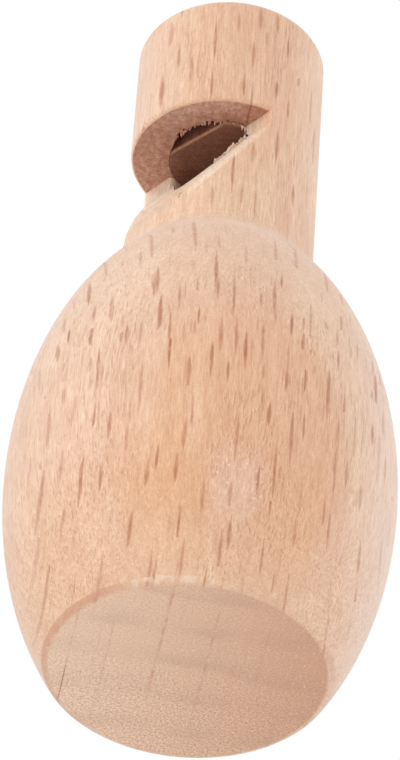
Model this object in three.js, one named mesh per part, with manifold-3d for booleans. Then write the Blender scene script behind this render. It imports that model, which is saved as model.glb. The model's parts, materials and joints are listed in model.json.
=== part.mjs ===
// A small whistle turned from beech: a whistle body that is bored from the mouth end and cut with a window,
// and a plug that closes the bore except for a flat air slot. It stands on its flat base, mouth end up.
// Lengths are in millimetres and angles in degrees. Z is the turning axis, and the window faces -Y.
import * as THREE from 'three';
import { mergeVertices } from 'three/addons/utils/BufferGeometryUtils.js';
import Module from 'manifold-3d';

const wasm = await Module();
wasm.setup();

// Turned outline
const LENGTH = 63.3;
const BELLY_DIAMETER = 30;
const BELLY_HEIGHT = 17;
const BASE_DIAMETER = 21.3;
const BASE_EDGE = 0.5;
const NECK_HEIGHT = 38.8;
const NECK_COVE = 1;
const STEM_DIAMETER = 15.1;
const RIM_ROUND = 1;

// Bore, drilled from the mouth end
const BORE_DIAMETER = 9;
const BORE_FLOOR = 12;
const DRILL_POINT_ANGLE = 118;

// Window: a saw slot square to the axis, and a ramp that slopes outward from the slot's foot
const SAW_KERF = 1.25;
const RAMP_ANGLE = 30.5;
const WINDOW_OFFSET = 1.85;

// Plug, glued into the mouth end of the bore, a little turned
const PLUG_LENGTH = 11.4;
const PLUG_TURN = 5;
const WINDWAY_HEIGHT = 0.95;
const GLUE_LINE = 0.05;

// Fineness of the facets
const SEGMENTS = 64;
const BELLY_STEPS = 22;
const ROUND_STEPS = 5;
const WELD_DISTANCE = 1e-4;

const BELLY_RADIUS = BELLY_DIAMETER / 2;
const STEM_RADIUS = STEM_DIAMETER / 2;
const BORE_RADIUS = BORE_DIAMETER / 2;
const WINDOW_HEIGHT = LENGTH - PLUG_LENGTH;
const CUT_MARGIN = 2;

const radians = (degrees) => THREE.MathUtils.degToRad(degrees);

// The belly is an ellipse that passes through the base edge below and through the neck above.
function ellipseReach(height, radius) {
  return height / Math.sqrt(1 - (radius / BELLY_RADIUS) ** 2);
}

const LOWER_REACH = ellipseReach(BELLY_HEIGHT, BASE_DIAMETER / 2);
const UPPER_REACH = ellipseReach(NECK_HEIGHT - BELLY_HEIGHT, STEM_RADIUS);

function bellyPoint(height) {
  const rise = height - BELLY_HEIGHT;
  const reach = rise < 0 ? LOWER_REACH : UPPER_REACH;
  return new THREE.Vector2(BELLY_RADIUS * Math.sqrt(1 - (rise / reach) ** 2), height);
}

// A soft corner: a curve that leaves one side and joins the other where they point at the corner.
function softCorner(from, corner, to) {
  return new THREE.QuadraticBezierCurve(from, corner, to).getPoints(ROUND_STEPS);
}

function bodyOutline() {
  const baseRadius = BASE_DIAMETER / 2;
  const bellyStart = BASE_EDGE;
  const bellyEnd = NECK_HEIGHT - NECK_COVE;
  const points = [new THREE.Vector2(0, 0)];
  points.push(...softCorner(
    new THREE.Vector2(baseRadius - BASE_EDGE, 0),
    new THREE.Vector2(baseRadius, 0),
    bellyPoint(bellyStart),
  ));
  for (let step = 1; step < BELLY_STEPS; step += 1) {
    points.push(bellyPoint(THREE.MathUtils.lerp(bellyStart, bellyEnd, step / BELLY_STEPS)));
  }
  points.push(...softCorner(
    bellyPoint(bellyEnd),
    new THREE.Vector2(STEM_RADIUS, NECK_HEIGHT),
    new THREE.Vector2(STEM_RADIUS, NECK_HEIGHT + NECK_COVE),
  ));
  for (let step = 0; step <= ROUND_STEPS; step += 1) {
    const turn = radians(90 * step / ROUND_STEPS);
    points.push(new THREE.Vector2(
      STEM_RADIUS - RIM_ROUND * (1 - Math.cos(turn)),
      LENGTH - RIM_ROUND * (1 - Math.sin(turn)),
    ));
  }
  points.push(new THREE.Vector2(0, LENGTH));
  return points;
}

// A turned solid stands along Z. Its outline runs from the axis to the axis, from the bottom up.
function turned(outline) {
  const geometry = new THREE.LatheGeometry(outline, SEGMENTS);
  return solid(geometry.rotateX(radians(90)));
}

function solid(geometry) {
  const bare = geometry.clone();
  bare.deleteAttribute('normal');
  bare.deleteAttribute('uv');
  const welded = mergeVertices(bare, WELD_DISTANCE);
  const vertProperties = new Float32Array(welded.attributes.position.array);
  const triVerts = new Uint32Array(welded.index.array);
  return new wasm.Manifold(new wasm.Mesh({ numProp: 3, vertProperties, triVerts }));
}

function boreCutter() {
  const pointDepth = BORE_RADIUS / Math.tan(radians(DRILL_POINT_ANGLE / 2));
  return turned([
    new THREE.Vector2(0, BORE_FLOOR),
    new THREE.Vector2(BORE_RADIUS, BORE_FLOOR + pointDepth),
    new THREE.Vector2(BORE_RADIUS, LENGTH + CUT_MARGIN),
    new THREE.Vector2(0, LENGTH + CUT_MARGIN),
  ]);
}

// A prism along X from an outline in distance towards -Y and height.
function prismAcross(corners, width) {
  const shape = new THREE.Shape(corners);
  const geometry = new THREE.ExtrudeGeometry(shape, { depth: width, bevelEnabled: false });
  const outward = new THREE.Vector3(0, -1, 0);
  const upward = new THREE.Vector3(0, 0, 1);
  const across = new THREE.Vector3().crossVectors(outward, upward);
  geometry.translate(0, 0, -width / 2);
  geometry.applyMatrix4(new THREE.Matrix4().makeBasis(outward, upward, across));
  return solid(geometry);
}

function windowCutter() {
  const reach = STEM_RADIUS + CUT_MARGIN;
  const slotFoot = WINDOW_HEIGHT - SAW_KERF;
  const drop = (reach - WINDOW_OFFSET) / Math.tan(radians(RAMP_ANGLE));
  return prismAcross([
    new THREE.Vector2(WINDOW_OFFSET, WINDOW_HEIGHT),
    new THREE.Vector2(WINDOW_OFFSET, slotFoot),
    new THREE.Vector2(reach, slotFoot - drop),
    new THREE.Vector2(reach, WINDOW_HEIGHT),
  ], 2 * reach);
}

function plugSolid() {
  const radius = BORE_RADIUS - GLUE_LINE;
  const rod = turned([
    new THREE.Vector2(0, WINDOW_HEIGHT),
    new THREE.Vector2(radius, WINDOW_HEIGHT),
    new THREE.Vector2(radius, LENGTH),
    new THREE.Vector2(0, LENGTH),
  ]);
  const flat = BORE_RADIUS - WINDWAY_HEIGHT;
  const reach = BORE_RADIUS + CUT_MARGIN;
  const air = prismAcross([
    new THREE.Vector2(flat, WINDOW_HEIGHT - CUT_MARGIN),
    new THREE.Vector2(reach, WINDOW_HEIGHT - CUT_MARGIN),
    new THREE.Vector2(reach, LENGTH + CUT_MARGIN),
    new THREE.Vector2(flat, LENGTH + CUT_MARGIN),
  ], 2 * reach);
  return rod.subtract(air);
}

const beech = new THREE.MeshStandardMaterial({ color: 0xe5b896, roughness: 0.6, metalness: 0 });
const dowelBeech = new THREE.MeshStandardMaterial({ color: 0xd9a985, roughness: 0.65, metalness: 0 });

function meshOf(name, manifold, material) {
  const { vertProperties, triVerts } = manifold.getMesh();
  const geometry = new THREE.BufferGeometry();
  geometry.setAttribute('position', new THREE.BufferAttribute(new Float32Array(vertProperties), 3));
  geometry.setIndex(new THREE.BufferAttribute(new Uint32Array(triVerts), 1));
  geometry.computeVertexNormals();
  const mesh = new THREE.Mesh(geometry, material);
  mesh.name = name;
  return mesh;
}

const whistle = new THREE.Group();
whistle.name = 'wooden_whistle';
const bodySolid = turned(bodyOutline()).subtract(boreCutter()).subtract(windowCutter());
whistle.add(meshOf('whistle_body', bodySolid, beech));
const plug = meshOf('fipple_plug', plugSolid(), dowelBeech);
plug.rotation.z = radians(PLUG_TURN);
whistle.add(plug);

export default whistle;
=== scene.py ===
# %% [markdown]
# # A turned beech whistle
# This lesson dresses a small wooden whistle that was first made as plain solids. The whistle is two
# pieces of beech: a body turned on a lathe, bored and cut with a window, and a short plug that leaves an
# air slot. They say where everything is, and the pieces made here replace them.

# %% Load the solids
import json
import math

import bmesh
import bpy
from mathutils import Matrix, Vector

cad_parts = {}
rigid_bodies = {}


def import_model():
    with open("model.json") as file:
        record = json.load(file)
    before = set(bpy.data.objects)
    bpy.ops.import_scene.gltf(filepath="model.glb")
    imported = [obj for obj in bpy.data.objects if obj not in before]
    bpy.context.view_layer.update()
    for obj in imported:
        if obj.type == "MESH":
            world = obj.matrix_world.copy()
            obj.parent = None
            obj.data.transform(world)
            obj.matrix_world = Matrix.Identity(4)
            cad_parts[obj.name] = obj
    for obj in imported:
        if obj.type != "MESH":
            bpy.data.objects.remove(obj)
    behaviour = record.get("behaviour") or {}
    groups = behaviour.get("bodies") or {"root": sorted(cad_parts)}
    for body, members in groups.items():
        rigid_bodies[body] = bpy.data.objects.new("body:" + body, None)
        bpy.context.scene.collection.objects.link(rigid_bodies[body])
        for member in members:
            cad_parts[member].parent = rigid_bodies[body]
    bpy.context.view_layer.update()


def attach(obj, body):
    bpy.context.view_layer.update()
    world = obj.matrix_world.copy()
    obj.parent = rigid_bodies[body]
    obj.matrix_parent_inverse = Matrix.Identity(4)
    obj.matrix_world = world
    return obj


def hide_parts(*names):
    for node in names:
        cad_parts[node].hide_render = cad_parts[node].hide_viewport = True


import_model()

# %% [markdown]
# ## Sizes
# All sizes are written once, in millimetres, as a turner would read them from a drawing, and turned into
# metres when they are used. The whistle stands on its flat base with its axis along Z, and the window
# faces -Y.

# %% Sizes
MM = 0.001
LENGTH = 63.3
BELLY_DIAMETER = 30
BELLY_HEIGHT = 17
SANDED_OFF = 0.005
BASE_DIAMETER = 21.3
BASE_EDGE = 0.5
NECK_HEIGHT = 38.8
NECK_COVE = 1.6
STEM_DIAMETER = 15.1
RIM_ROUND = 1
BORE_DIAMETER = 9
BORE_FLOOR = 12
DRILL_POINT_ANGLE = 118
PLUG_LENGTH = 11.4
SAW_KERF = 1.25
RAMP_ANGLE = 30.5
WINDOW_OFFSET = 1.85
WINDWAY_HEIGHT = 0.95
PLUG_TURN = 5
GLUE_LINE = 0.01
WINDOW_HEIGHT = LENGTH - PLUG_LENGTH
STEM_RADIUS = STEM_DIAMETER / 2
BORE_RADIUS = BORE_DIAMETER / 2
print("window face at", WINDOW_HEIGHT, "mm")

# %% [markdown]
# ## Helpers for node trees
# Geometry trees and shader trees are both made of nodes and links, so the same small functions build them.
# `put` fills a socket with a value or a link, and `node` adds a node. `calc` and `vector` add one step of
# arithmetic, `times` multiplies several values, and `weigh` is a value times a weight plus a base. `ramp`
# turns a range of values into a mask. They work in the tree that their values come from.

# %% Node helpers
def put(socket, value):
    if isinstance(value, bpy.types.NodeSocket):
        socket.id_data.links.new(value, socket)
    else:
        socket.default_value = value


def node(tree, kind, inputs=None, **settings):
    made = tree.nodes.new(kind)
    for name, value in settings.items():
        setattr(made, name, value)
    for key, value in (inputs or {}).items():
        put(made.inputs[key], value)
    return made


def tree_of(*values):
    """The tree of the first value that is a socket."""
    return next(value.id_data for value in values if isinstance(value, bpy.types.NodeSocket))


def calc(operation, *values):
    return node(tree_of(*values), "ShaderNodeMath", dict(enumerate(values)), operation=operation).outputs[0]


def vector(operation, *values):
    inputs = dict(enumerate(values))
    return node(tree_of(*values), "ShaderNodeVectorMath", inputs, operation=operation).outputs[0]


def times(*values):
    product = values[0]
    for value in values[1:]:
        product = calc("MULTIPLY", product, value)
    return product


def weigh(value, weight, base):
    return calc("MULTIPLY_ADD", value, weight, base)


def ramp(value, low, high, smooth=True):
    """0 below low, 1 above high. low may be the larger one."""
    kind = "SMOOTHSTEP" if smooth else "LINEAR"
    limits = {"Value": value, "From Min": low, "From Max": high}
    return node(tree_of(value), "ShaderNodeMapRange", limits, interpolation_type=kind).outputs["Result"]


def parts(place):
    """The three parts of a vector."""
    return node(tree_of(place), "ShaderNodeSeparateXYZ", {0: place}).outputs


def combine(x=0.0, y=0.0, z=0.0):
    """A vector from its three parts."""
    return node(tree_of(x, y, z), "ShaderNodeCombineXYZ", {"X": x, "Y": y, "Z": z}).outputs[0]


def new_tree(name, kind, outputs, inputs):
    """A new tree with its sockets, each given as a name and a kind of socket."""
    tree = bpy.data.node_groups.new(name, kind)
    for side, sockets in (("OUTPUT", outputs), ("INPUT", inputs)):
        for label, socket in sockets:
            tree.interface.new_socket(label, in_out=side, socket_type="NodeSocket" + socket)
    return tree


def close_tree(tree, geometry, wood):
    """Ends a geometry tree: no instances are left, and every face is of one wood."""
    whole = node(tree, "GeometryNodeRealizeInstances", {"Geometry": geometry})
    dressed = node(tree, "GeometryNodeSetMaterial", {"Geometry": whole.outputs[0], "Material": wood})
    node(tree, "NodeGroupOutput", {0: dressed.outputs[0]})
    return tree


def empty_tree(owner):
    """The tree of a material or a world, without the nodes that it starts with."""
    owner.use_nodes = True
    owner.node_tree.nodes.clear()
    return owner.node_tree


def add_object(name, data):
    made = bpy.data.objects.new(name, data)
    bpy.context.scene.collection.objects.link(made)
    return made


# %% [markdown]
# ## The turned form
# A lathe gives every height one radius, so the form follows a rule and suits Geometry Nodes. The tree
# starts from a plain cylinder. It spreads the cylinder's rings over the height, close together at the
# base edge, the neck and the rim, and then gives each ring the radius of the outline: an ellipse for the
# belly, a smooth maximum with the stem for the soft neck, and small quarter rounds at the base and the
# rim.

# %% The turned form's tree
TURNED_SIZES = {
    "Length": LENGTH,
    "Belly Radius": BELLY_DIAMETER / 2 - SANDED_OFF,
    "Belly Height": BELLY_HEIGHT,
    "Base Radius": BASE_DIAMETER / 2,
    "Base Edge": BASE_EDGE,
    "Neck Height": NECK_HEIGHT,
    "Neck Cove": NECK_COVE,
    "Stem Radius": STEM_RADIUS,
    "Rim Round": RIM_ROUND,
}
CUTTERS = ("Bore", "Window", "Scrape")
SEGMENTS = 256
RINGS = 150
BELLY_END, STEM_END = 0.84, 0.85
COVE_REACH = 0.9


def ring_heights(size, place):
    """Height of each ring, and how far the rim has turned inward there."""
    def share(start, end):
        return ramp(place, start, end, smooth=False)

    top = calc("ADD", size["Neck Height"], times(size["Neck Cove"], COVE_REACH))
    wave = calc("COSINE", times(share(0.0, BELLY_END), math.pi))
    belly = times(top, weigh(wave, -0.5, 0.5))
    straight = calc("SUBTRACT", calc("SUBTRACT", size["Length"], size["Rim Round"]), top)
    stem = times(share(BELLY_END, STEM_END), straight)
    turn = times(share(STEM_END, 1.0), math.pi / 2)
    rise = times(size["Rim Round"], calc("SINE", turn))
    return calc("ADD", calc("ADD", belly, stem), rise), turn


def arc(share):
    """How high a round of radius 1 stands at a share of its half width."""
    fall = calc("SUBTRACT", 1.0, times(share, share))
    return calc("SQRT", calc("MAXIMUM", fall, 0.0))


def outline_radius(size, height, turn):
    """Radius of the outline at a height."""
    def reach(rise, radius):
        return calc("DIVIDE", rise, arc(calc("DIVIDE", radius, size["Belly Radius"])))

    rise = calc("SUBTRACT", height, size["Belly Height"])
    lower = reach(size["Belly Height"], size["Base Radius"])
    upper = reach(calc("SUBTRACT", size["Neck Height"], size["Belly Height"]), size["Stem Radius"])
    above = calc("GREATER_THAN", rise, 0.0)
    span = weigh(above, calc("SUBTRACT", upper, lower), lower)
    belly = times(size["Belly Radius"], arc(calc("DIVIDE", rise, span)))
    form = calc("SMOOTH_MAX", belly, size["Stem Radius"], size["Neck Cove"])
    low = calc("MAXIMUM", calc("SUBTRACT", size["Base Edge"], height), 0.0)
    fall = arc(calc("DIVIDE", low, size["Base Edge"]))
    edge = times(size["Base Edge"], calc("SUBTRACT", 1.0, fall))
    rim = times(size["Rim Round"], calc("SUBTRACT", 1.0, calc("COSINE", turn)))
    return calc("SUBTRACT", calc("SUBTRACT", form, edge), rim)


def turned_tree():
    sizes = [(name, "Float") for name in TURNED_SIZES]
    cutters = [(name, "Object") for name in CUTTERS]
    tree = new_tree("Turned whistle", "GeometryNodeTree", [("Whistle", "Geometry")],
                    [*sizes, *cutters, ("Wood", "Material")])
    given = node(tree, "NodeGroupInput").outputs
    blank = node(tree, "GeometryNodeMeshCylinder", {
        "Vertices": SEGMENTS,
        "Side Segments": RINGS,
        "Fill Segments": 1,
        "Radius": 1.0,
        "Depth": 1.0,
    }, fill_type="NGON")
    start = parts(node(tree, "GeometryNodeInputPosition").outputs[0])
    height, turn = ring_heights(given, calc("ADD", start["Z"], 0.5))
    radius = outline_radius(given, height, turn)
    spot = combine(times(start["X"], radius), times(start["Y"], radius), height)
    turned = node(tree, "GeometryNodeSetPosition", {"Geometry": blank.outputs["Mesh"], "Position": spot})
    cut = node(tree, "GeometryNodeMeshBoolean", {
        "Mesh 1": turned.outputs[0],
    }, operation="DIFFERENCE", solver="EXACT")
    for name in CUTTERS:
        cutter = node(tree, "GeometryNodeObjectInfo", {"Object": given[name]}, transform_space="RELATIVE")
        tree.links.new(cutter.outputs["Geometry"], cut.inputs["Mesh 2"])
    return close_tree(tree, cut.outputs["Mesh"], given["Wood"])


whistle_tree = turned_tree()
print("turned tree:", len(whistle_tree.nodes), "nodes")

# %% [markdown]
# ## The cutters
# The bore is drilled and the window is sawn, so each is a cutter to take away. The saw tore the fibres at
# one side of the bore, and the photograph shows the ragged lip. The bore cutter gets that from its own
# radius: over a stretch of the circle it follows a saw-toothed line of uneven teeth, only at the height
# of the window.

# %% Bore cutter
WELD = 1e-4


def ring_object(name, rings):
    """A closed solid from rings of points in millimetres, with faces between the rings and at both ends."""
    bm = bmesh.new()
    loops = [[bm.verts.new(Vector(p) * MM) for p in ring] for ring in rings]
    for low, high in zip(loops, loops[1:]):
        for i in range(len(low)):
            j = (i + 1) % len(low)
            bm.faces.new((low[i], low[j], high[j], high[i]))
    bm.faces.new(list(reversed(loops[0])))
    bm.faces.new(loops[-1])
    bmesh.ops.remove_doubles(bm, verts=bm.verts, dist=WELD * MM)
    bmesh.ops.recalc_face_normals(bm, faces=bm.faces)
    mesh = bpy.data.meshes.new(name)
    bm.to_mesh(mesh)
    bm.free()
    return add_object(name, mesh)


KERF_FOOT = WINDOW_HEIGHT - SAW_KERF
BORE_SEGMENTS = 720
CUT_MARGIN = 2
TOOTH_ANGLE = 6.4
TOOTH_DEEP, LEAST_TOOTH = 0.44, 0.35
TOOTH_WANDER, WANDER_RATE = 0.25, 0.31
NOTCH_ROUND = 0.6
TORN_BACK = 0.16
SWELL_IN, SWELL_OUT = 5, 6
TORN_END = -14
FACE_TORN_FROM, RAMP_TORN_FROM = -112, -56
TORN_LOW, TORN_HIGH, TORN_FADE = 44.5, WINDOW_HEIGHT + 0.5, 0.4
SHELF, SHELF_AT, SHELF_HALF = 0.6, -130, 48


def uneven(number):
    """A fixed share from 0 to 1 that looks random for each whole number."""
    return math.modf(abs(math.sin(number * 12.9898 + 4.1) * 43758.5453))[0]


def torn_lip(angle, start):
    """How far the torn lip stands out of the bore at an angle in degrees: round notches with sharp tips."""
    if not start < angle < TORN_END:
        return 0
    across = (angle - start) / (TORN_END - start)
    swell = min(1, SWELL_IN * across, SWELL_OUT * (1 - across))
    place = angle / TOOTH_ANGLE + TOOTH_WANDER * math.sin(angle * WANDER_RATE)
    share = place - math.floor(place)
    notch = math.sin(math.pi * share) ** NOTCH_ROUND
    height = LEAST_TOOTH + (1 - LEAST_TOOTH) * uneven(math.floor(place))
    return swell * (TORN_BACK + TOOTH_DEEP * notch * height)


def left_shelf(angle):
    """How far a low shelf of wood stands into the bore on the left, under the saw slot."""
    away = abs(angle - SHELF_AT) / SHELF_HALF
    return SHELF * math.cos(math.pi / 2 * min(1, away)) ** 2


def bore_ring(radius, height, torn_from):
    points = []
    for step in range(BORE_SEGMENTS):
        angle = 360 * step / BORE_SEGMENTS - 180
        r = radius + torn_lip(angle, torn_from)
        if TORN_LOW < height <= KERF_FOOT:
            r -= left_shelf(angle)
        turn = math.radians(angle)
        points.append((r * math.cos(turn), r * math.sin(turn), height))
    return points


DRILL_DEPTH = BORE_RADIUS / math.tan(math.radians(DRILL_POINT_ANGLE / 2))
DRILL_TIP = 0.02
WHOLE = TORN_END
BORE_STEPS = [
    (BORE_FLOOR + DRILL_DEPTH, WHOLE),
    (TORN_LOW, WHOLE),
    (TORN_LOW + TORN_FADE, RAMP_TORN_FROM),
    (KERF_FOOT, RAMP_TORN_FROM),
    (KERF_FOOT + TORN_FADE, FACE_TORN_FROM),
    (WINDOW_HEIGHT, FACE_TORN_FROM),
    (TORN_HIGH, FACE_TORN_FROM),
    (TORN_HIGH + TORN_FADE, WHOLE),
    (LENGTH + CUT_MARGIN, WHOLE),
]
bore_rings = [bore_ring(DRILL_TIP, BORE_FLOOR, WHOLE)]
bore_rings += [bore_ring(BORE_RADIUS, *step) for step in BORE_STEPS]
bore_cutter = ring_object("bore_cutter", bore_rings)
print("bore cutter:", len(bore_cutter.data.polygons), "faces")

# %% [markdown]
# The window was made in two cuts. A saw went in square to the axis, and then a slope was cut from the
# foot of that slot out to the stem's side. The cutter is a prism whose section has both, as distance out
# of the axis and height.

# %% Window cutter
WINDOW_REACH = STEM_RADIUS + CUT_MARGIN
RAMP_TAN = math.tan(math.radians(RAMP_ANGLE))
RAMP_DROP = (WINDOW_REACH - WINDOW_OFFSET) / RAMP_TAN
WINDOW_SECTION = [
    (WINDOW_OFFSET, WINDOW_HEIGHT),
    (WINDOW_OFFSET, KERF_FOOT),
    (WINDOW_REACH, KERF_FOOT - RAMP_DROP),
    (WINDOW_REACH, WINDOW_HEIGHT),
]
window_ends = [[(x, -out, up) for out, up in WINDOW_SECTION] for x in (-WINDOW_REACH, WINDOW_REACH)]
window_cutter = ring_object("window_cutter", window_ends)
print("ramp meets the stem at", round(KERF_FOOT - (STEM_RADIUS - WINDOW_OFFSET) / RAMP_TAN, 2), "mm")

# %% [markdown]
# On the left the corner between the slot and the bore was scraped round, more below than above. A third
# small cutter takes it away. Its curve leaves the slot's back and joins the bore's wall, and it grows
# from the top to the bottom.

# %% Scrape cutter
SCRAPE_STEPS = 8
AIR = 0.01


def scrape_ring(height, back, inward):
    """The scraped corner at a height: a soft curve, closed through the open air beside it."""
    corner = Vector((-math.sqrt(BORE_RADIUS ** 2 - WINDOW_OFFSET ** 2), -WINDOW_OFFSET))
    turn = math.asin(WINDOW_OFFSET / BORE_RADIUS) - inward / BORE_RADIUS
    first = corner - Vector((back, 0))
    last = Vector((-math.cos(turn), -math.sin(turn))) * BORE_RADIUS
    shares = [step / SCRAPE_STEPS for step in range(SCRAPE_STEPS + 1)]
    curve = [first * (1 - s) ** 2 + corner * 2 * s * (1 - s) + last * s ** 2 for s in shares]
    plan = [*curve, last + Vector((1, 0)), corner + Vector((1, -AIR)), first - Vector((0, AIR))]
    return [(p.x, p.y, height) for p in plan]


scrape_rings = [scrape_ring(KERF_FOOT, 0.8, 1.6), scrape_ring(WINDOW_HEIGHT, 0.5, 1.2)]
scrape_cutter = ring_object("scrape_cutter", scrape_rings)
print("scrape cutter:", len(scrape_cutter.data.polygons), "faces")

# %% [markdown]
# ## Cutting the body
# The modifier runs the tree with the sizes in metres, set by each socket's identifier before the first
# evaluation. The result becomes a plain mesh, and the cutters are thrown away.

# %% Make the body
def final_mesh(piece):
    """The mesh of a piece after its modifiers."""
    graph = bpy.context.evaluated_depsgraph_get()
    graph.update()
    return bpy.data.meshes.new_from_object(piece.evaluated_get(graph))


def run_tree(name, tree, values):
    """Evaluates a geometry tree on a new object and returns the result as a plain mesh object."""
    host = add_object(name + "_host", bpy.data.meshes.new(name + "_host"))
    modifier = host.modifiers.new("tree", "NODES")
    modifier.node_group = tree
    for item in tree.interface.items_tree:
        if item.item_type == "SOCKET" and item.in_out == "INPUT" and item.name in values:
            modifier[item.identifier] = values[item.name]
    mesh = final_mesh(host)
    bpy.data.objects.remove(host)
    mesh.name = name
    wood = mesh.materials[mesh.polygons[0].material_index]
    mesh.materials.clear()
    mesh.materials.append(wood)
    return add_object(name, mesh)


turned_beech = bpy.data.materials.new("turned_beech")
body_values = {name: size * MM for name, size in TURNED_SIZES.items()}
cutters = dict(zip(CUTTERS, (bore_cutter, window_cutter, scrape_cutter)))
body_values.update({**cutters, "Wood": turned_beech})
whistle_body = run_tree("turned_body", whistle_tree, body_values)
for cutter in cutters.values():
    bpy.data.objects.remove(cutter)
print("turned body:", len(whistle_body.data.polygons), "faces")

# %% [markdown]
# A knife-sharp edge never looks like wood. The outer edge of the window's upper face was sanded rounder
# than the bore's edge at the mouth, the ramp's foot on the left rounder still, and the torn lip stays as
# it is. Each edge gets its own width as a bevel weight. Weighted normals then keep the long strips of the
# stem smooth.

# %% Soften the cut edges
FACE_EDGE, LEFT_EDGE = 0.35, 0.15
RAMP_EDGE, RIGHT_EDGE = 0.8, 0.35
FOOT_EDGE, FOOT_SHARE = 1.6, 0.6
FOOT_FROM, FOOT_TO = 48.0, 44.0
SOFT_EDGE = 0.2
WIDEST = 1.6
EDGE_STEPS = 3
SHARP_TURN = math.radians(35)
SAME_SPOT = 0.002
CLOSE, LIP_INSIDE = 0.02, 0.4


def bake(piece):
    """Turns a piece and its modifiers into a plain mesh."""
    rough = piece.data
    piece.data = final_mesh(piece)
    piece.modifiers.clear()
    bpy.data.meshes.remove(rough)


def part_way(value, start, end):
    """0 at the start, 1 at the end, and even in between."""
    return min(1, max(0, (value - start) / (end - start)))


def clean(mesh):
    """Merges points that fell together and takes away edges and faces without size."""
    bm = bmesh.new()
    bm.from_mesh(mesh)
    bmesh.ops.remove_doubles(bm, verts=bm.verts, dist=SAME_SPOT * MM)
    bmesh.ops.dissolve_degenerate(bm, dist=SAME_SPOT * MM, edges=bm.edges)
    bm.to_mesh(mesh)
    bm.free()


def soften(piece, width_at):
    """Rounds the convex sharp edges of a piece. A function gives the width in millimetres at each spot."""
    bm = bmesh.new()
    bm.from_mesh(piece.data)
    bmesh.ops.remove_doubles(bm, verts=bm.verts, dist=WELD * MM)
    weight = bm.edges.layers.float.new("bevel_weight_edge")
    count = 0
    for edge in bm.edges:
        if len(edge.link_faces) == 2 and edge.is_convex and edge.calc_face_angle() > SHARP_TURN:
            edge[weight] = width_at((edge.verts[0].co + edge.verts[1].co) / 2 / MM) / WIDEST
            count += edge[weight] > 0
    bm.to_mesh(piece.data)
    bm.free()
    modifier = piece.modifiers.new("edges", "BEVEL")
    modifier.limit_method = "WEIGHT"
    modifier.width = WIDEST * MM
    modifier.segments = EDGE_STEPS
    modifier.use_clamp_overlap = False
    bake(piece)
    piece.data.attributes.remove(piece.data.attributes["bevel_weight_edge"])
    clean(piece.data)
    return count


def smooth_shading(piece):
    """Smooth shading between the sharp edges, with normals that follow the larger faces."""
    piece.data.shade_smooth()
    piece.data.set_sharp_from_angle(angle=SHARP_TURN)
    modifier = piece.modifiers.new("normals", "WEIGHTED_NORMAL")
    modifier.keep_sharp = True
    bake(piece)


def body_edge(spot):
    """Width of the rounding. The two short upright edges at the ends of the saw slot stay sharp."""
    if spot.z > LENGTH - CLOSE:
        return SOFT_EDGE
    if spot.xy.length < STEM_RADIUS - LIP_INSIDE or spot.y > -WINDOW_OFFSET - CLOSE:
        return 0
    if abs(spot.z - WINDOW_HEIGHT) < CLOSE:
        return FACE_EDGE + (LEFT_EDGE - FACE_EDGE) * part_way(spot.x, 0, -5)
    low = part_way(spot.z, FOOT_FROM, FOOT_TO)
    left = part_way(spot.x, 2, -2)
    right = part_way(spot.x, 1, 6)
    room = spot.z - NECK_HEIGHT - COVE_REACH * NECK_COVE
    wide = RAMP_EDGE + (FOOT_EDGE - RAMP_EDGE) * low * left + (RIGHT_EDGE - RAMP_EDGE) * right
    return min(wide, FOOT_SHARE * room)


print("softened", soften(whistle_body, body_edge), "edges of the body")

# %% [markdown]
# ## Torn fibres
# The saw left splinters standing along the grain at the edge of the bore. They repeat along an arc, so a
# second small tree sets them: points around the bore, a thin cone on each, and a chance of its own for
# every width, length and tilt. Three runs of it make the teeth on the ramp's lip, those under the upper
# face, and a tuft at the right end.

# %% The fibres' tree
FIBRE_SIZES = (
    "First Angle", "Last Angle", "Radius", "Height", "Slope", "Reach", "Length", "Thickness", "Turn Over",
)


def fibre_tree():
    counts = [(name, "Int") for name in ("Count", "Seed")]
    sizes = [(name, "Float") for name in FIBRE_SIZES]
    tree = new_tree("Torn fibres", "GeometryNodeTree", [("Fibres", "Geometry")],
                    [*counts, *sizes, ("Wood", "Material")])
    given = node(tree, "NodeGroupInput").outputs
    index = node(tree, "GeometryNodeInputIndex").outputs[0]

    def chance(low, high, number):
        seed = calc("ADD", given["Seed"], number)
        return node(tree, "FunctionNodeRandomValue", {2: low, 3: high, 8: seed}, data_type="FLOAT").outputs[1]

    share = calc("DIVIDE", calc("ADD", index, chance(0.0, 0.9, 1)), given["Count"])
    sweep = calc("SUBTRACT", given["Last Angle"], given["First Angle"])
    angle = weigh(share, sweep, given["First Angle"])
    out = times(calc("SINE", angle), times(given["Radius"], -1.0))
    past = calc("MAXIMUM", calc("SUBTRACT", out, given["Reach"]), 0.0)
    spot = combine(
        times(calc("COSINE", angle), given["Radius"]),
        times(out, -1.0),
        calc("SUBTRACT", given["Height"], times(past, given["Slope"])),
    )
    line = node(tree, "GeometryNodeMeshLine", {"Count": given["Count"]})
    roots = node(tree, "GeometryNodeSetPosition", {"Geometry": line.outputs[0], "Position": spot})
    cone = node(tree, "GeometryNodeMeshCone", {
        "Vertices": 6,
        "Radius Top": 0.1,
        "Radius Bottom": 1.0,
        "Depth": 1.0,
    })
    wide = times(given["Thickness"], chance(0.6, 1.3, 2))
    size = combine(wide, wide, times(given["Length"], chance(0.35, 1.0, 3)))
    tilt = combine(calc("ADD", given["Turn Over"], chance(-0.3, 0.3, 4)), chance(-0.3, 0.3, 5))
    turn = node(tree, "FunctionNodeEulerToRotation", {0: tilt})
    spread = node(tree, "GeometryNodeInstanceOnPoints", {
        "Points": roots.outputs[0],
        "Instance": cone.outputs["Mesh"],
        "Rotation": turn.outputs[0],
        "Scale": size,
    })
    return close_tree(tree, spread.outputs[0], given["Wood"])


# %% [markdown]
# Each row is rooted a little inside the wood and joined to the body, so the fibres are part of its mesh.

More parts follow.
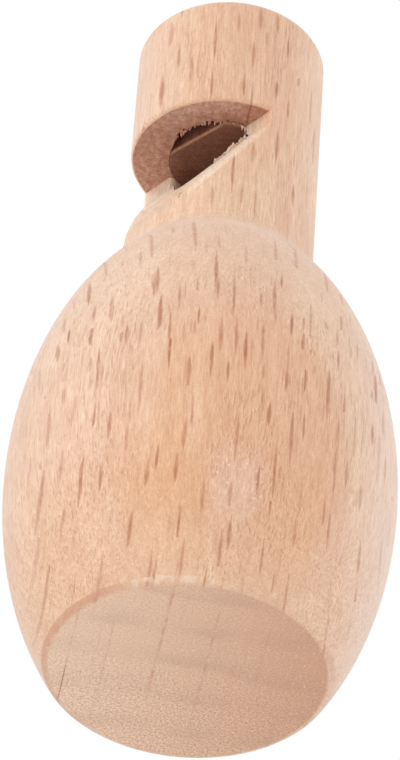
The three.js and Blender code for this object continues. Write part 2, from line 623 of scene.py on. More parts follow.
# %% Set the fibres
torn_beech = bpy.data.materials.new("torn_beech")
shaded_beech = bpy.data.materials.new("shaded_beech")
torn_tree = fibre_tree()
ROOT_DEPTH = 0.1


def torn_row(seed, count, first, last, radius, height, length, thickness, hanging, slope=0.0):
    """One row of fibres around the bore, standing up the grain or hanging down it. Angles are in degrees."""
    root = height + (ROOT_DEPTH if hanging else -ROOT_DEPTH)
    return run_tree("torn_row", torn_tree, {
        "Count": count,
        "Seed": seed,
        "First Angle": math.radians(first),
        "Last Angle": math.radians(last),
        "Radius": radius * MM,
        "Height": root * MM,
        "Slope": slope,
        "Reach": WINDOW_OFFSET * MM,
        "Length": (length + ROOT_DEPTH) * MM,
        "Thickness": thickness * MM,
        "Turn Over": math.pi if hanging else 0.0,
        "Wood": torn_beech,
    })


def join(piece, extras, material):
    """Adds the meshes of other objects to a piece, with a material of their own, and removes the objects."""
    piece.data.materials.append(material)
    bm = bmesh.new()
    bm.from_mesh(piece.data)
    for extra in extras:
        for face in extra.data.polygons:
            face.material_index = len(piece.data.materials) - 1
        bm.from_mesh(extra.data)
        bpy.data.objects.remove(extra)
    bm.to_mesh(piece.data)
    bm.free()


lip_row = torn_row(seed=3, count=34, first=-51, last=-18, radius=BORE_RADIUS + 0.14, height=KERF_FOOT,
                   length=0.5, thickness=0.19, hanging=False, slope=1 / RAMP_TAN)
face_row = torn_row(seed=8, count=15, first=-106, last=-30, radius=BORE_RADIUS + 0.25, height=WINDOW_HEIGHT,
                    length=0.34, thickness=0.13, hanging=True)
tuft_row = torn_row(seed=5, count=14, first=-27, last=-8, radius=BORE_RADIUS + 0.05, height=WINDOW_HEIGHT,
                    length=0.75, thickness=0.11, hanging=True)
join(whistle_body, [lip_row, tuft_row], torn_beech)
join(whistle_body, [face_row], shaded_beech)
smooth_shading(whistle_body)
print("turned body with torn fibres:", len(whistle_body.data.polygons), "faces")

# %% [markdown]
# ## The plug
# The plug is a dowel with a flat planed along it. Its section is an arc closed by a straight side, and
# its length runs from the window to the mouth. The edges along its flat are rounded most, because they
# show as a pale line.

# %% Make the plug
PLUG_RADIUS = BORE_RADIUS - GLUE_LINE
PLUG_FLAT = BORE_RADIUS - WINDWAY_HEIGHT
PLUG_STEPS = 48
PLUG_EDGE, PLUG_ARRIS = 0.25, 0.08


def plug_section():
    half = math.acos(PLUG_FLAT / PLUG_RADIUS)
    start = math.radians(PLUG_TURN - 90) + half
    turns = [start + (2 * math.pi - 2 * half) * step / PLUG_STEPS for step in range(PLUG_STEPS + 1)]
    return [(PLUG_RADIUS * math.cos(t), PLUG_RADIUS * math.sin(t)) for t in turns]


plug_rings = [[(x, y, z) for x, y in plug_section()] for z in (WINDOW_HEIGHT, LENGTH)]
plug = ring_object("dowel_plug", plug_rings)


def plug_edge(spot):
    """Width of the rounding, wide along the flat and narrow around the dowel."""
    return PLUG_EDGE if spot.xy.length < PLUG_RADIUS - 0.1 else PLUG_ARRIS


print("softened", soften(plug, plug_edge), "edges of the plug")
smooth_shading(plug)
dowel_beech = bpy.data.materials.new("dowel_beech")
plug.data.materials.append(dowel_beech)

# %% [markdown]
# ## Beech
# Beech is pale and fine, and its mark is the ray: a thin upright sheet of cells that runs from the heart
# of the tree to the bark. Where the surface lies across the rays they show as short dark spindles along
# the grain, and on the end grain the same rays show as long lines. One solid pattern in three directions
# gives both, with no painting: around the tree, out from its heart, and along the grain. The shader group
# below works in those directions, in millimetres.

# %% Grain helpers
HEART_ANGLE = 144.8


def stretch(place, around, outward, along):
    """The wood's place, scaled separately around the tree, out from its heart, and along the grain."""
    return vector("MULTIPLY", place, (around, outward, along))


def cloud(place, scales, detail=2.0, roughness=0.5):
    """Soft noise around 0.5, scaled separately in the wood's three directions."""
    return node(tree_of(place), "ShaderNodeTexNoise", {
        "Vector": stretch(place, *scales),
        "Scale": 1.0,
        "Detail": detail,
        "Roughness": roughness,
    }).outputs["Fac"]


def blend(share, first, second, kind="MIX"):
    """Mixes two colours by a share."""
    inputs = {0: share, 6: first, 7: second}
    tree = tree_of(*inputs.values())
    return node(tree, "ShaderNodeMix", inputs, data_type="RGBA", blend_type=kind).outputs[2]


def shade(colour, value):
    """A colour made lighter or darker by a value around 1. Dark wood is redder, so red changes least."""
    tinge = node(tree_of(value), "ShaderNodeCombineColor", {
        0: calc("POWER", value, 0.6),
        1: value,
        2: calc("POWER", value, 1.3),
    })
    return blend(1.0, colour, tinge.outputs[0], "MULTIPLY")


def linear(red, green, blue):
    """A colour as a screen shows it, from 0 to 255, in the linear values that shaders use."""
    def one(v):
        v /= 255
        return v / 12.92 if v <= 0.04045 else ((v + 0.055) / 1.055) ** 2.4
    return (one(red), one(green), one(blue), 1)


# %% [markdown]
# Each tone is written as a screen shows it: the ground and its slow changes first, with painted light on both
# sides and a painted highlight spot, then the rings and flecks, the end grain, the base's edge with its
# painted highlight, the long rays and the dust.

# %% Tones
GROUND = linear(236, 197, 165)
WARM = linear(231, 179, 139)
WARM_ABOVE = linear(233, 184, 147)
LIT_RIGHT_TONE = linear(246, 224, 208)
LIT_LEFT_TONE = linear(244, 213, 186)
LOW_LEFT = linear(226, 178, 143)
SLOW_TONE = linear(228, 178, 150)
PALE_PATCH = linear(240, 203, 173)
HIGHLIGHT_SPOT_TONE = linear(238, 199, 177)
LATE_WOOD = linear(205, 152, 120)
FLECK_TONE = linear(177, 103, 68)
END_PALE = linear(240, 203, 174)
END_DARK = linear(212, 160, 127)
END_RING = linear(188, 146, 120)
END_FLECK = linear(203, 144, 120)
EDGE_HIGHLIGHT_TONE = linear(246, 218, 195)
BROWN_EDGE_TONE = linear(205, 145, 118)
RAY_TONE = linear(203, 140, 118)
HAIRLINE_TONE = linear(140, 92, 62)
FACE_RAY_TONE = linear(170, 112, 88)
DUST_TONE = linear(246, 226, 208)

# %% [markdown]
# A fleck is one ray cut by the surface. Voronoi cells scatter the rays: each cell holds one, at its own
# random place and with its own size and strength. The distance from the cell's point draws a spindle that
# is widest in the middle.

# %% Ray flecks
def flecks(place, slim, spacing, half_width, half_length, shift):
    """Mask of ray flecks. spacing is around, outward and along. Half sizes are (least, most), in mm."""
    tree = tree_of(place)
    moved = vector("ADD", place, shift)
    scaled = stretch(moved, *[1 / s for s in spacing])
    cells = node(tree, "ShaderNodeTexVoronoi", {"Vector": scaled, "Scale": 1, "Randomness": 0.95},
                 voronoi_dimensions="3D", feature="F1")
    away = vector("SUBTRACT", scaled, cells.outputs["Position"])
    apart = parts(away)
    luck = node(tree, "ShaderNodeSeparateColor", {0: cells.outputs["Color"]})
    wide = weigh(luck.outputs[0], half_width[1] - half_width[0], half_width[0])
    chance = times(luck.outputs[1], luck.outputs[1])
    tall = weigh(chance, half_length[1] - half_length[0], half_length[0])
    off = calc("ABSOLUTE", times(apart["X"], spacing[0]))
    sideways = calc("DIVIDE", times(off, slim), wide)
    upward = calc("DIVIDE", times(apart["Z"], spacing[2]), tall)
    spindle = weigh(upward, upward, sideways)
    strength = weigh(luck.outputs[2], 0.5, 0.5)
    return times(ramp(spindle, 1.1, 0.3), strength)


# %% [markdown]
# A few long rays reach right across the base. Each is written with its place around the tree, its half
# width, how far it runs from the heart's side to the bark's side, and its strength, all found on the end
# grain in the photograph.

# %% Long rays on the base
LONG_RAYS = [
    (-2.54, 0.17, -13, 4.5, 0.7),
    (1.15, 0.15, -9, 5, 0.55),
    (-6.2, 0.12, -6, 6, 0.35),
    (5.1, 0.12, -11, 1, 0.4),
    (7.7, 0.10, -8, 4, 0.35),
    (-8.97, 0.10, -6.5, 4.5, 0.5),
]
BASE_RAYS = (-5, 5)
FACE_RAY = (0.95, 0.12, -9.5, -4.5, 0.6)
FACE_RAYS = (49, 54.5)
HAIRLINE = (-8.97, 0.05, 0.6, 5.6, 0.8)


def middle_part(value, first, last, core):
    """1 in the middle of a span and 0 at its two ends. core is the share of the span that stays 1."""
    off = calc("ABSOLUTE", calc("SUBTRACT", value, (first + last) / 2))
    half = (last - first) / 2
    return ramp(off, half, core * half)


def long_ray(spot, heights, around, half_width, first, last, strength):
    """Mask of one upright sheet between two distances from the heart and two heights."""
    x, y, z = spot
    sheet = middle_part(x, around - half_width, around + half_width, 0.3)
    run = middle_part(y, first, last, 0.6)
    return times(sheet, run, middle_part(z, *heights, 0.3), strength)


# %% [markdown]
# The group builds the colour in layers, from the ground tone up, and a height for the relief. Three
# layers of flecks differ in spacing, half widths, half lengths and shift. In the group, x runs around the
# tree, y out from its heart and z along the grain.

# %% The beech group
FLECK_LAYERS = [
    ((2.2, 5, 5), (0.13, 0.23), (1.3, 3.4), (3.1, 1.7, 0.4)),
    ((2, 4.5, 4.3), (0.11, 0.20), (1, 2.1), (1.3, 2.6, 3.2)),
    ((2.6, 4, 4.2), (0.06, 0.12), (0.7, 1.4), (0, 4.4, 1.9)),
]
RING_WIDTH, GRAIN_SLANT = 4.2, 0.17
HIGHLIGHT_SPOT_AROUND = (-2.2, 4)
HIGHLIGHT_SPOT_HEIGHTS = (3.4, 11.6)
GROUP_INPUTS = (
    ("Place", "Vector"), ("Facing", "Vector"), ("Flecks", "Float"), ("Pores", "Float"), ("Dust", "Float"),
)
GROUP_OUTPUTS = (("Color", "Color"), ("Height", "Float"), ("Roughness", "Float"))


def beech_group():
    tree = new_tree("Beech figure", "ShaderNodeTree", GROUP_OUTPUTS, GROUP_INPUTS)
    given = node(tree, "NodeGroupInput").outputs

    # The true place in the wood, and one that wanders a little, as grain does
    x, y, z = parts(given["Place"])
    drift = node(tree, "ShaderNodeTexNoise", {
        "Vector": stretch(given["Place"], 0.07, 0.07, 0.025), "Scale": 1, "Detail": 1,
    }).outputs["Color"]
    offset = vector("SUBTRACT", drift, (0.5, 0.5, 0.5))
    wander = vector("MULTIPLY", offset, (1.2, 4, 0))
    place = vector("ADD", given["Place"], wander)
    spot = parts(place)
    facing = parts(given["Facing"])
    upright = calc("ABSOLUTE", facing["Z"])
    end = ramp(upright, 0.90, 0.995)

    # A warm outer layer of the tree, which the belly bulges into, painted light on the sides, and a slow
    # change of tone
    layer = weigh(z, GRAIN_SLANT, spot["Y"])
    warm = times(ramp(layer, -9, -10.8), ramp(z, -3, 8))
    stem = times(ramp(z, 42, 48), ramp(y, -5, -7.3), 0.45)
    warm = calc("MAXIMUM", warm, stem)
    warmer = blend(ramp(z, 6, 15), WARM, WARM_ABOVE)
    colour = blend(warm, GROUND, warmer)
    # Painted light: the right side paler, as a rim of light falls on it
    right = times(ramp(x, 8.5, 14), 0.7)
    colour = blend(right, colour, LIT_RIGHT_TONE)
    # Painted light: the stem's right side a little lighter
    painted_light_stem = times(ramp(x, 4, 7.4), ramp(z, 41, 45))
    colour = shade(colour, weigh(painted_light_stem, 0.06, 1))
    # Painted light: the left side paler, towards the stronger light
    levels = calc("ADD", middle_part(z, 7, 34, 0.6), ramp(z, 42, 46))
    left = times(middle_part(x, -14.5, -4, 0.5), levels, 0.45)
    colour = blend(left, colour, LIT_LEFT_TONE)
    low = times(ramp(x, -3, -8), ramp(z, 13, 6), 0.5)
    limb = times(ramp(x, -12, -14.3), ramp(z, 14, 6), 0.7)
    colour = blend(calc("MAXIMUM", limb, low), colour, LOW_LEFT)
    slow = ramp(cloud(place, (0.13, 0.13, 0.06)), 0.36, 0.64)
    colour = blend(times(slow, 0.35), colour, SLOW_TONE)
    pale = ramp(cloud(place, (0.3, 0.3, 0.06), 3), 0.52, 0.74)
    colour = blend(times(pale, 0.45), colour, PALE_PATCH)

    # A painted highlight: one spot of the belly, paler and pinker
    highlight_spot_mask = times(
        middle_part(x, *HIGHLIGHT_SPOT_AROUND, 0.2),
        middle_part(z, *HIGHLIGHT_SPOT_HEIGHTS, 0.2),
        ramp(y, -8, -10),
    )
    colour = blend(times(highlight_spot_mask, 0.5), colour, HIGHLIGHT_SPOT_TONE)

    # Growth rings
    ring = calc("FRACT", calc("DIVIDE", layer, RING_WIDTH))
    late = times(ramp(ring, 0.3, 0.85), ramp(ring, 1, 0.86))
    colour = blend(times(late, 0.07), colour, LATE_WOOD)

    # Fibres, vessels and short open pores, and splits with painted shade in them and a painted highlight
    # beside them
    fibre = cloud(place, (4, 4, 0.16), 3, 0.65)
    vessel = cloud(place, (8.5, 8.5, 0.8), 2, 0.6)
    grain = cloud(place, (11, 11, 6), 1)
    quiver = calc("SUBTRACT", cloud(place, (1.1, 1.1, 0.7)), 0.5)
    gentle, shaken = [vector("ADD", place, combine(x=times(quiver, amount))) for amount in (0.1, 0.3)]
    beside = vector("ADD", shaken, (0.13, 0, 0))
    patch = ramp(cloud(place, (0.16, 0.16, 0.12)), 0.42, 0.6)
    patch = calc("MAXIMUM", patch, ramp(x, -5, -9))
    # The splits are darkened as painted shade, and the wood just beside them is lightened as a painted
    # highlight
    split_and_painted_shade, painted_glint = [
        times(ramp(cloud(p, (6, 6, 0.6), 1), 0.57, 0.66), patch)
        for p in (shaken, beside)
    ]
    streak = ramp(cloud(place, (1.4, 1.4, 0.10), 2), 0.35, 0.65)
    changes = [
        (ramp(fibre, 0.3, 0.7, smooth=False), 0.18, 0.91),
        (ramp(vessel, 0.3, 0.7), 0.20, 0.90),
        (ramp(grain, 0.3, 0.7), 0.12, 0.94),
        (split_and_painted_shade, -0.2, 1),
        (painted_glint, 0.11, 1),
        (streak, 0.08, 0.96),
    ]
    colour = shade(colour, times(*[weigh(*change) for change in changes]))

    # Turning marks at the neck, and painted shade on the shoulder just under it
    neck = middle_part(z, NECK_HEIGHT - 3, NECK_HEIGHT + 3, 0.3)
    mark = ramp(cloud(given["Place"], (0.03, 0.03, 2.6), 2), 0.35, 0.65)
    colour = shade(colour, weigh(times(neck, mark), 0.06, 0.985))
    # Painted shade: a band of the shoulder under the neck a little darker
    neck_painted_shade = middle_part(z, NECK_HEIGHT - 3.2, NECK_HEIGHT + 0.8, 0.4)
    colour = shade(colour, weigh(neck_painted_shade, -0.05, 1))

    # Ray flecks, calmer on the shoulder, drawn out and slim at the neck
    along = ramp(z, 30, 42)
    drawn = vector("ADD", gentle, combine(z=times(along, -5)))
    slim = weigh(neck, 0.6, 1)
    large, medium, small = [flecks(drawn, slim, *sizes) for sizes in FLECK_LAYERS]
    upper = times(ramp(spot["Z"], 13, 24), ramp(spot["Z"], 43, 34))
    shoulder = middle_part(z, 26, 44, 0.5)
    calm = weigh(shoulder, -0.6, 1)
    medium = times(medium, calm, weigh(upper, 0.4, 0.3))
    small = times(small, calm, weigh(upper, 0.35, 0.2))
    fleck = calc("MAXIMUM", calc("MAXIMUM", large, medium), small)
    worn = ramp(cloud(place, (2.5, 2.5, 1.1)), 0.3, 0.6)
    zone = weigh(shoulder, -0.3, weigh(upper, 0.2, 0.8))
    fleck = times(fleck, given["Flecks"], zone, weigh(worn, 0.35, 0.65))
    quarter = ramp(calc("ABSOLUTE", facing["X"]), 0.82, 0.97)
    fleck = times(fleck, weigh(quarter, -0.8, 1))
    colour = blend(fleck, colour, FLECK_TONE)

    # End grain: greyer, with fine pores, and painted light, paler to one side and darker to the other
    pore = cloud(place, (5.5, 5.5, 0.3), 2, 0.8)
    # Painted light and shade across the base: paler on the side towards the stronger light
    side = ramp(x, -10, 10, smooth=False)
    grey = blend(side, END_PALE, END_DARK)
    open_pore = calc("SUBTRACT", ramp(pore, 0.3, 0.7), 0.5)
    rougher = weigh(ramp(y, -4, 6), 0.7, 0.6)
    open_pore = times(open_pore, rougher, given["Pores"])
    grey = shade(grey, calc("ADD", open_pore, 1))
    faint = ramp(cloud(place, (0.2, 0.4, 0.1)), 0.4, 0.6)
    faint = weigh(faint, 0.2, 0.07)
    grey = blend(times(late, faint), grey, END_RING)
    grey = blend(times(fleck, 0.2), grey, END_FLECK)
    colour = blend(end, colour, grey)

    # The base's edge: a painted highlight along its upper part, and browner on the left and, in shreds, on
    # the right
    ragged = weigh(cloud(place, (1.5, 1.5, 0.1)), 0.3, z)
    edge = times(ramp(upright, 0.54, 0.6), middle_part(ragged, 0.15, 0.85, 0.4))
    shreds = ramp(cloud(place, (0.9, 0.9, 0.1), 3), 0.42, 0.6)
    # Painted highlight: the upper part of the rounded edge paler, broken into shreds
    painted_edge_highlight = times(edge, shreds, middle_part(x, -8, 3, 0.4), 0.7)
    painted_edge_highlight = times(painted_edge_highlight, ramp(y, -6, -9))
    colour = blend(painted_edge_highlight, colour, EDGE_HIGHLIGHT_TONE)
    brown_edge = ramp(x, 7, 9.5)
    brown_edge = calc("MAXIMUM", ramp(x, -4.5, -8), times(brown_edge, shreds, 0.6))
    colour = blend(times(edge, brown_edge, 0.6), colour, BROWN_EDGE_TONE)

    # Long rays, and one dark hairline
    broken = ramp(cloud(place, (0.6, 0.6, 0.6)), 0.4, 0.6)
    broken = weigh(broken, 0.75, 0.25)
    for ray in LONG_RAYS:
        mask = times(long_ray((x, y, z), BASE_RAYS, *ray), broken)
        colour = blend(mask, colour, RAY_TONE)
    colour = blend(long_ray((x, y, z), BASE_RAYS, *HAIRLINE), colour, HAIRLINE_TONE)
    colour = blend(long_ray((x, y, z), FACE_RAYS, *FACE_RAY), colour, FACE_RAY_TONE)

    # Pale wood dust in the pores
    grains = node(tree, "ShaderNodeTexVoronoi", {"Vector": given["Place"], "Scale": 2.4}, feature="F1")
    luck = node(tree, "ShaderNodeSeparateColor", {0: grains.outputs["Color"]}).outputs[0]
    speck = times(ramp(grains.outputs["Distance"], 0.32, 0.12), ramp(luck, 0.5, 0.9))
    more = weigh(highlight_spot_mask, 0.8, times(end, patch, 0.3))
    dust = calc("MINIMUM", calc("ADD", given["Dust"], more), 1)
    colour = blend(times(speck, dust), colour, DUST_TONE)

    # Relief and roughness
    height = weigh(vessel, 0.5, times(fibre, 0.5))
    height = weigh(fleck, -0.15, weigh(split_and_painted_shade, -0.3, height))
    coarse = cloud(place, (3.2, 3.2, 2.4), 2)
    grainy = times(middle_part(x, -5, 5, 0.3), ramp(z, 7, 4))
    grainy = calc("MAXIMUM", highlight_spot_mask, times(grainy, calc("SUBTRACT", 1, end)))
    height = weigh(coarse, weigh(grainy, 1.1, 0.4), height)
    rough = weigh(fibre, 0.18, 0.46)
    node(tree, "NodeGroupOutput", {"Color": colour, "Height": height, "Roughness": rough})
    return tree


beech_figure = beech_group()
print("beech group:", len(beech_figure.nodes), "nodes")

# %% [markdown]
# Every face of the whistle uses the same group. The faces inside the window get darker, redder materials as
# painted shade: the sawn face, which is also stained unevenly and lighter at its outer edge as painted light,
# the bore, the plug's end, the edges there and the fibres that hang under the sawn face. The ramp, the slot's
# back and the scraped corner get a paler material as painted light. Bare wood has no gloss, but its fine
# hairs lighten the sides that turn away, which is what the shader's sheen is for.

# %% Fill the beech materials
DOWEL_TURN = 75
PORES = 0.55
RELIEF, RELIEF_DEPTH = 0.5, 0.1


def beech_material(material, fleck=1, tint=None, dust=0, rim=0, mottle=0, rays=0, glow=0,
                   sheen=0.42, foot=False, heart=HEART_ANGLE):
    tree = empty_tree(material)
    where = node(tree, "ShaderNodeTexCoord")
    turn = (0, 0, math.radians(90 - heart))
    place = node(tree, "ShaderNodeMapping", {
        "Vector": where.outputs["Object"],
        "Rotation": turn,
        "Scale": (1 / MM, 1 / MM, 1 / MM),
    }).outputs[0]
    faced = node(tree, "ShaderNodeMapping", {
        "Vector": where.outputs["Normal"],
        "Rotation": turn,
    }, vector_type="VECTOR").outputs[0]
    figure = node(tree, "ShaderNodeGroup", node_tree=beech_figure)
    for (name, _), value in zip(GROUP_INPUTS, (place, faced, fleck, PORES, dust)):
        put(figure.inputs[name], value)
    colour = figure.outputs["Color"]
    wood_spot = parts(place)
    # A tint changes the figure: the dowel's own tone, the torn fibres' pale tone, and painted shade and light
    # in the window
    if tint:
        share = 1
        # foot keeps the ramp's painted light off its lower left and its right tip
        if foot:
            low = times(ramp(wood_spot["X"], -2, -4.5), ramp(wood_spot["Z"], 48, 46))
            tip = times(ramp(wood_spot["X"], 0.9, 2.5), 0.75)
            share = calc("SUBTRACT", 1, calc("MAXIMUM", low, tip))
        colour = blend(share, colour, tint, "MULTIPLY")
    # rim is painted light: the sawn face lighter towards its outer edge over part of its width, a little
    # darker elsewhere
    if rim:
        off_axis = vector("MULTIPLY", place, (1, 1, 0))
        out = node(tree, "ShaderNodeVectorMath", {0: off_axis}, operation="LENGTH").outputs["Value"]
        painted_light_band = times(ramp(out, 4.8, 6.8), middle_part(wood_spot["X"], -6.5, 2, 0.35))
        colour = shade(colour, weigh(painted_light_band, rim, 0.94))
    if mottle:
        stain = ramp(cloud(place, (1.7, 1.7, 0.5), 4, 0.65), 0.3, 0.7)
        colour = shade(colour, weigh(stain, 2 * mottle, 1 - mottle))
    if rays:
        line = ramp(cloud(place, (3, 0.15, 0.1), 2), 0.5, 0.66)
        colour = shade(colour, weigh(line, -rays, 1 + rays / 3))
    relief = node(tree, "ShaderNodeBump", {
        "Strength": RELIEF,
        "Distance": RELIEF_DEPTH * MM,
        "Height": figure.outputs["Height"],
    })
    wood = node(tree, "ShaderNodeBsdfPrincipled", {
        "Base Color": colour,
        "Roughness": figure.outputs["Roughness"],
        "Specular IOR Level": 0.3,
        "Sheen Weight": sheen,
        "Sheen Roughness": 0.5,
        "Sheen Tint": (1, 0.96, 0.93, 1),
        "Subsurface Weight": glow,
        "Subsurface Radius": (1, 0.6, 0.4),
        "Subsurface Scale": 1.5 * MM,
        "Normal": relief.outputs[0],
    })
    node(tree, "ShaderNodeOutputMaterial", {"Surface": wood.outputs[0]})


def new_beech(name, **settings):
    material = bpy.data.materials.new(name)
    beech_material(material, **settings)
    return material


beech_material(turned_beech, dust=0.12)
beech_material(torn_beech, fleck=0, tint=(1, 1.12, 1.25, 1), sheen=0)
beech_material(shaded_beech, fleck=0, tint=(0.6, 0.56, 0.55, 1))
beech_material(dowel_beech, fleck=0.5, tint=(0.95, 0.88, 0.84, 1), heart=HEART_ANGLE + DOWEL_TURN)
# The plug's end and its flat: dark brown as painted shade, stained unevenly, with rays
plug_end_painted_shade = new_beech("plug_end_painted_shade", tint=(0.325, 0.205, 0.183, 1), mottle=0.1, rays=0.3, sheen=0,
                     heart=HEART_ANGLE + DOWEL_TURN)
# The sawn face: darker and redder as painted shade, stained unevenly, with dust
sawn_face_painted_shade = new_beech("sawn_face_painted_shade", fleck=0.5, tint=(0.63, 0.505, 0.495, 1), dust=0.7, rim=0.42,
                       mottle=0.28, sheen=0)
# The bore above the window: darker and redder as painted shade
bore_painted_shade = new_beech("bore_painted_shade", fleck=0.3, tint=(0.98, 0.46, 0.39, 1), sheen=0)
# The edges of the plug's flat and of the bore's left lip: darker as painted shade, less than the faces around
# them
inner_edge_painted_shade = new_beech("inner_edge_painted_shade", fleck=0, tint=(0.54, 0.42, 0.37, 1), sheen=0)
# The ramp, the slot's back and the scraped corner: paler as painted light, with dust
ramp_beech = new_beech("ramp_beech", fleck=0.4, tint=(1.03, 1.20, 1.38, 1), dust=0.3, glow=0.7, sheen=0,
                       foot=True)

# %% [markdown]
# A face gets its material by where it lies and which way it looks. The first test that picks a face wins.

# %% Give the cut faces their materials
def dress(piece, material, wanted):
    """Gives the faces that a test picks, by their middle in millimetres and their normal, a material."""
    piece.data.materials.append(material)
    plain = [face for face in piece.data.polygons if face.material_index == 0]
    picked = [face for face in plain if wanted(face.center / MM, face.normal)]
    for face in picked:
        face.material_index = len(piece.data.materials) - 1
    return len(picked)


def in_bore(middle, normal):
    near = middle.z > WINDOW_HEIGHT and middle.xy.length < BORE_RADIUS + 0.6
    return near and normal.xy.dot(middle.xy) < -0.3 * middle.xy.length


def on_bore_edge(middle, normal):
    return in_bore(middle, normal) and middle.z < TORN_HIGH and middle.x < -2.5


def on_saw_cut(middle, normal):
    return abs(normal.z) > 0.99 and abs(middle.z - WINDOW_HEIGHT) < CLOSE


def on_plug_edge(middle, normal):
    side = normal.xy.normalized()
    return -0.95 < normal.z < -0.2 and (side.dot(PLUG_SIDE) > 0.9 or side.x < -0.8)


def on_plug_inside(middle, normal):
    return normal.z < -0.2 or normal.xy.dot(PLUG_SIDE) > 0.9


def on_ramp(middle, normal):
    """Picks the ramp with its rounded edges, the back of the saw slot and the scraped corner."""
    if not NECK_HEIGHT + 2 < middle.z < WINDOW_HEIGHT - CLOSE:
        return False
    slope = normal.z > 0.02 and normal.y < -0.2
    back = abs(middle.y + WINDOW_OFFSET) < CLOSE and middle.xy.length < STEM_RADIUS - 0.1
    scraped = middle.z > KERF_FOOT - 1 and middle.x < -3.5 and middle.xy.length < STEM_RADIUS - 1.5
    return slope or back or scraped


PLUG_SIDE = Vector((math.sin(math.radians(PLUG_TURN)), -math.cos(math.radians(PLUG_TURN))))
for piece, material, wanted in (
    (whistle_body, inner_edge_painted_shade, on_bore_edge),
    (whistle_body, bore_painted_shade, in_bore),
    (plug, inner_edge_painted_shade, on_plug_edge),
    (plug, plug_end_painted_shade, on_plug_inside),
    (whistle_body, sawn_face_painted_shade, on_saw_cut),
    (whistle_body, ramp_beech, on_ramp),
):
    print(piece.name, material.name, dress(piece, material, wanted), "faces")

# %% [markdown]
# ## Light, floor and camera
# The photograph was taken in soft light from both sides, a little stronger from the left, on plain white.
# It looks up at the base, so the floor is one-sided: it shows from above, with the whistle's shadow on
# it, and lets the camera and the light through from below.

# %% World and floor
WHITE = (1, 1, 1, 1)
AMBIENT = 0.82
FLOOR_SIZE = 3.0
FLOOR_TONE = 0.9


def studio_world():
    world = bpy.data.worlds.new("studio")
    bpy.context.scene.world = world
    tree = empty_tree(world)
    rays = node(tree, "ShaderNodeLightPath").outputs
    seen = calc("MAXIMUM", rays["Is Camera Ray"], rays["Is Transmission Ray"])
    power = weigh(seen, 1 - AMBIENT, AMBIENT)
    sky = node(tree, "ShaderNodeBackground", {"Color": WHITE, "Strength": power})
    node(tree, "ShaderNodeOutputWorld", {"Surface": sky.outputs[0]})


def one_sided_floor():
    half = FLOOR_SIZE / 2
    corners = [(-half, -half, 0), (half, -half, 0), (half, half, 0), (-half, half, 0)]
    mesh = bpy.data.meshes.new("floor")
    mesh.from_pydata(corners, [], [(0, 1, 2, 3)])
    floor = add_object("floor", mesh)
    material = bpy.data.materials.new("pale_floor")
    tree = empty_tree(material)
    behind = node(tree, "ShaderNodeNewGeometry").outputs["Backfacing"]
    seen = node(tree, "ShaderNodeLightPath").outputs["Is Camera Ray"]
    shown = times(seen, calc("SUBTRACT", 1.0, behind))
    matt = node(tree, "ShaderNodeBsdfDiffuse", {"Color": (FLOOR_TONE, FLOOR_TONE, FLOOR_TONE, 1)})
    mixed = node(tree, "ShaderNodeMixShader", {
        0: shown,
        1: node(tree, "ShaderNodeBsdfTransparent").outputs[0],
        2: matt.outputs[0],
    })
    node(tree, "ShaderNodeOutputMaterial", {"Surface": mixed.outputs[0]})
    mesh.materials.append(material)


studio_world()
one_sided_floor()
bpy.context.scene.view_settings.view_transform = "Standard"

# %% [markdown]
# The camera was found from the photograph: the outline, the base disc and the window's edges fix how far
# it stands, how far it looks up, and its small roll. A long lens from 400 mm away keeps the stem's sides
# nearly parallel.

# %% Camera
CAMERA_DISTANCE = 400
CAMERA_AZIMUTH = 48.3
CAMERA_BELOW = 41.28
CAMERA_ROLL = 4.14
FOCAL_PIXELS = 5132.5
IMAGE_WIDTH, IMAGE_HEIGHT = 400, 760
AIM_RIGHT, AIM_UP = 10.93, 27.94
SENSOR = 36


def direction(azimuth, elevation):
    """A way out from the whistle. Azimuth counts from the window's side towards +X."""
    turn, rise = math.radians(azimuth), math.radians(elevation)
    return Vector((math.sin(turn) * math.cos(rise), -math.cos(turn) * math.cos(rise), math.sin(rise)))


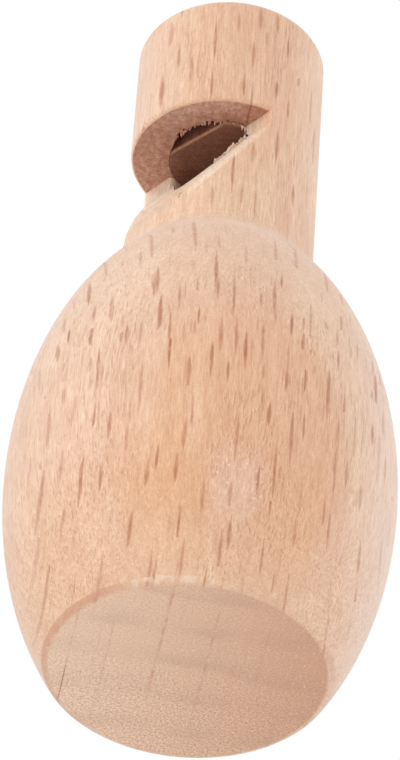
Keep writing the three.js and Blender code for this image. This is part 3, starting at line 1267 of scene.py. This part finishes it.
def place_camera():
    data = bpy.data.cameras.new("camera")
    camera = add_object("camera", data)
    away = direction(CAMERA_AZIMUTH, -CAMERA_BELOW)
    spot = Vector((0, 0, LENGTH / 2)) + CAMERA_DISTANCE * away
    forward = -away
    right = forward.cross(Vector((0, 0, 1))).normalized()
    up = right.cross(forward)
    roll = math.radians(CAMERA_ROLL)
    right, up = math.cos(roll) * right + math.sin(roll) * up, math.cos(roll) * up - math.sin(roll) * right
    forward = (forward - right * AIM_RIGHT / FOCAL_PIXELS - up * AIM_UP / FOCAL_PIXELS).normalized()
    right = forward.cross(up).normalized()
    up = right.cross(forward)
    turn = Matrix((right, up, -forward)).transposed().to_4x4()
    camera.matrix_world = Matrix.Translation(spot * MM) @ turn
    data.sensor_width = SENSOR
    data.lens = FOCAL_PIXELS / max(IMAGE_WIDTH, IMAGE_HEIGHT) * SENSOR
    data.clip_start, data.clip_end = 0.01, 20
    bpy.context.scene.camera = camera
    return camera


print("lens:", round(place_camera().data.lens, 1), "mm")

# %% [markdown]
# Soft boxes stand beside the whistle and near the camera, and a weak one behind it, so that every side
# has some light.

# %% Soft boxes
def soft_box(name, azimuth, elevation, distance, size, power):
    """A square lamp that faces the whistle."""
    data = bpy.data.lights.new(name, "AREA")
    data.shape = "SQUARE"
    data.size = size
    data.energy = power
    lamp = add_object(name, data)
    away = direction(azimuth, elevation)
    lamp.location = Vector((0, 0, LENGTH / 2 * MM)) + away * distance
    lamp.rotation_euler = away.to_track_quat("Z", "Y").to_euler()


soft_box("front_box", azimuth=CAMERA_AZIMUTH - 15, elevation=-35, distance=0.8, size=0.6, power=0.7)
soft_box("left_box", azimuth=CAMERA_AZIMUTH - 65, elevation=10, distance=0.6, size=0.5, power=1.0)
soft_box("right_box", azimuth=CAMERA_AZIMUTH + 100, elevation=10, distance=0.6, size=0.5, power=0.65)
soft_box("back_box", azimuth=CAMERA_AZIMUTH + 180, elevation=35, distance=0.8, size=0.6, power=0.5)

# %% [markdown]
# ## Hand over
# Each piece rides on the whistle's one body and replaces its solid, which is hidden.

# %% Ride and replace
for made, solid, finish in ((whistle_body, "whistle_body", "beech"), (plug, "fipple_plug", "dowel_beech")):
    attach(made, "root")
    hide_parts(solid)
    print(made.name, "replaces", solid)
